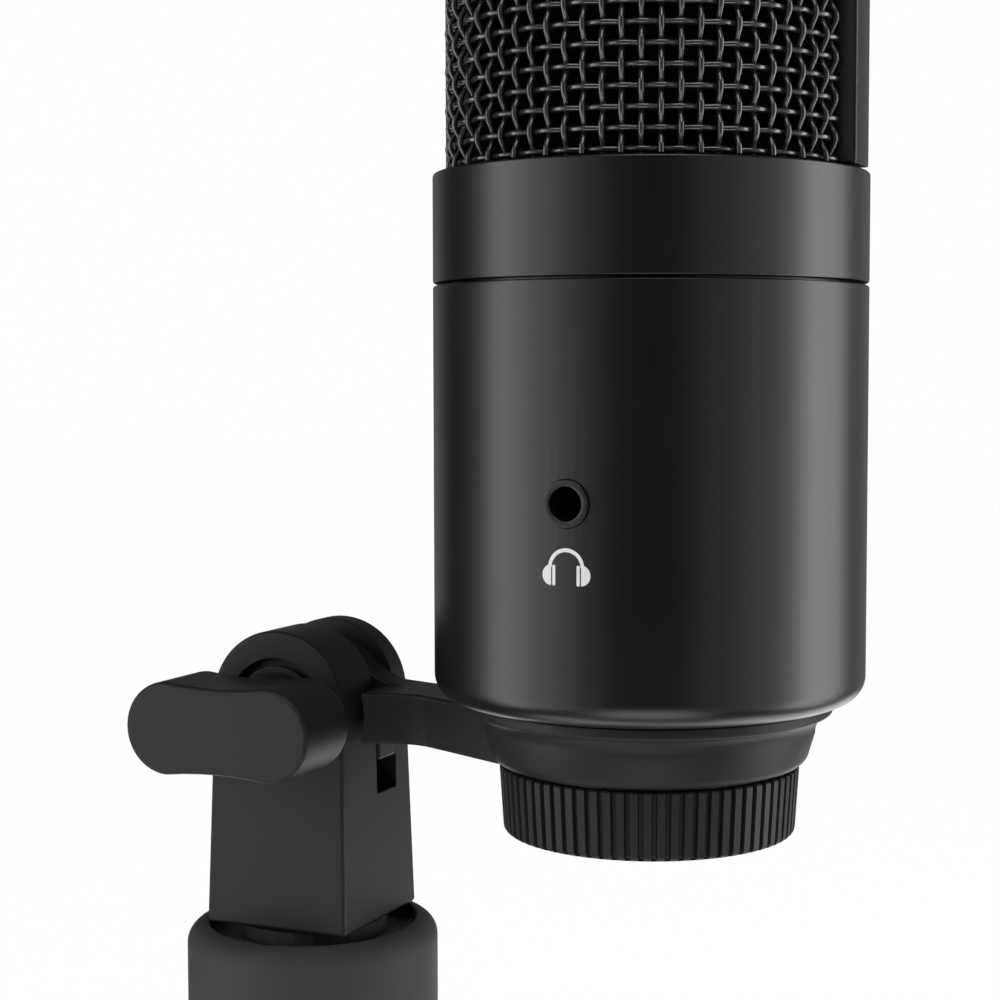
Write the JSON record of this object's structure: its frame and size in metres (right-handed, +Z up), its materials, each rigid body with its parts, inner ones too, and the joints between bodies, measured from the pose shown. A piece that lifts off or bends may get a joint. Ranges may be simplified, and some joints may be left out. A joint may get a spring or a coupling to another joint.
{
  "type": "desktop microphone",
  "caption": "Round side-address USB microphone with a woven grille, held at its foot by a tilting pivot arm on a folding desk tripod.",
  "frame": {"origin": "centre of the tripod's footprint, on the desk", "axes": "+Z up, +X from the stand towards the microphone, -Y the way the headphone jack and the T-handle face"},
  "size_m": [0.1354, 0.156, 0.2403],
  "materials": {
    "black_paint": "satin black paint",
    "black_metal": "satin black coating",
    "black_plastic": "fine matte black",
    "black_wire": "semi-gloss black wire",
    "steel": "plain steel",
    "rubber": "matte black",
    "foam": "black lining",
    "board": "green solder mask",
    "gold_film": "thin metal film"
  },
  "bodies": {
    "stand": {"stand_hub": "black_metal", "hub_stud": "steel", "swivel_washer": "rubber", "leg_pin_1": "steel", "leg_pin_2": "steel", "leg_pin_3": "steel"},
    "leg_a": {"leg_1": "black_metal", "foot_1": "rubber"},
    "leg_b": {"leg_2": "black_metal", "foot_2": "rubber"},
    "leg_c": {"leg_3": "black_metal", "foot_3": "rubber"},
    "block": {"swivel_block": "black_plastic", "captive_nut": "steel"},
    "clamp_slide": {"clamp_washer": "steel"},
    "handle": {"clamp_handle": "black_plastic", "clamp_screw": "steel"},
    "arm": {"pivot_arm": "black_plastic"},
    "microphone": {"base_plug": "black_metal", "usb_socket": "steel", "body_shell": "black_paint", "headphone_jack": "black_plastic", "main_board": "board", "gain_board": "board", "chassis_rail_left": "black_plastic", "chassis_rail_right": "black_plastic", "main_board_screw_left": "steel", "main_board_screw_right": "steel", "gain_board_screw_left": "steel", "gain_board_screw_right": "steel", "base_screw_left": "steel", "base_screw_right": "steel", "deck_screw_left": "steel", "deck_screw_right": "steel", "gain_pot": "steel", "head_ring": "black_paint", "capsule_deck": "black_plastic", "capsule_holder": "black_plastic", "capsule_housing": "black_metal", "diaphragm": "gold_film", "head_frame": "black_paint", "front_grille": "black_wire", "rear_grille": "black_wire", "grille_liner": "foam", "top_cap": "black_paint"},
    "nut_slide": {"nut_washer": "steel"},
    "nut": {"clamp_nut": "black_plastic"},
    "knob": {"gain_knob": "black_plastic", "pot_shaft": "steel"}
  },
  "joints": [
    {"name": "leg_fold_1", "type": "hinge", "parent": "stand", "child": "leg_a", "pos_m": [-0.01025, 0, 0.042], "axis": [0, 1, 0], "range_deg": [0, 60]},
    {"name": "leg_fold_2", "type": "hinge", "parent": "stand", "child": "leg_b", "pos_m": [-0.026, 0.00909, 0.042], "axis": [-0.866, -0.5, 0], "range_deg": [0, 60]},
    {"name": "leg_fold_3", "type": "hinge", "parent": "stand", "child": "leg_c", "pos_m": [-0.026, -0.00909, 0.042], "axis": [0.866, -0.5, 0], "range_deg": [0, 60]},
    {"name": "mount_swivel", "type": "hinge", "parent": "stand", "child": "block", "pos_m": [-0.02075, 0, 0.0751], "axis": [0, 0, 1], "range_deg": [-180, 180]},
    {"name": "arm_tilt", "type": "hinge", "parent": "block", "child": "arm", "pos_m": [-0.02075, 0, 0.10165], "axis": [0, 1, 0], "range_deg": [-90, 10]},
    {"name": "mic_turn", "type": "hinge", "parent": "arm", "child": "microphone", "pos_m": [0.02455, 0, 0.1057], "axis": [0, 0, 1], "range_deg": [-180, 180]},
    {"name": "nut_travel", "type": "slide", "parent": "microphone", "child": "nut_slide", "axis": [0, 0, -1], "range_m": [0, 0.0019]},
    {"name": "nut_turn", "type": "hinge", "parent": "nut_slide", "child": "nut", "pos_m": [0.02455, 0, 0.0939], "axis": [0, 0, -1], "range_deg": [0, 720]},
    {"name": "handle_travel", "type": "slide", "parent": "block", "child": "clamp_slide", "axis": [0, -1, 0], "range_m": [0, 0.0017]},
    {"name": "handle_turn", "type": "hinge", "parent": "clamp_slide", "child": "handle", "pos_m": [-0.02075, -0.0173, 0.10165], "axis": [0, -1, 0], "range_deg": [0, 720]},
    {"name": "gain_turn", "type": "hinge", "parent": "microphone", "child": "knob", "pos_m": [0.02455, 0.025, 0.1296], "axis": [0, 1, 0], "range_deg": [-150, 150]}
  ],
  "couplings": [
    {"joint": "nut_travel", "follows": "nut_turn", "m_per_rad": 0.0001496},
    {"joint": "handle_travel", "follows": "handle_turn", "m_per_rad": 0.0001273}
  ]
}
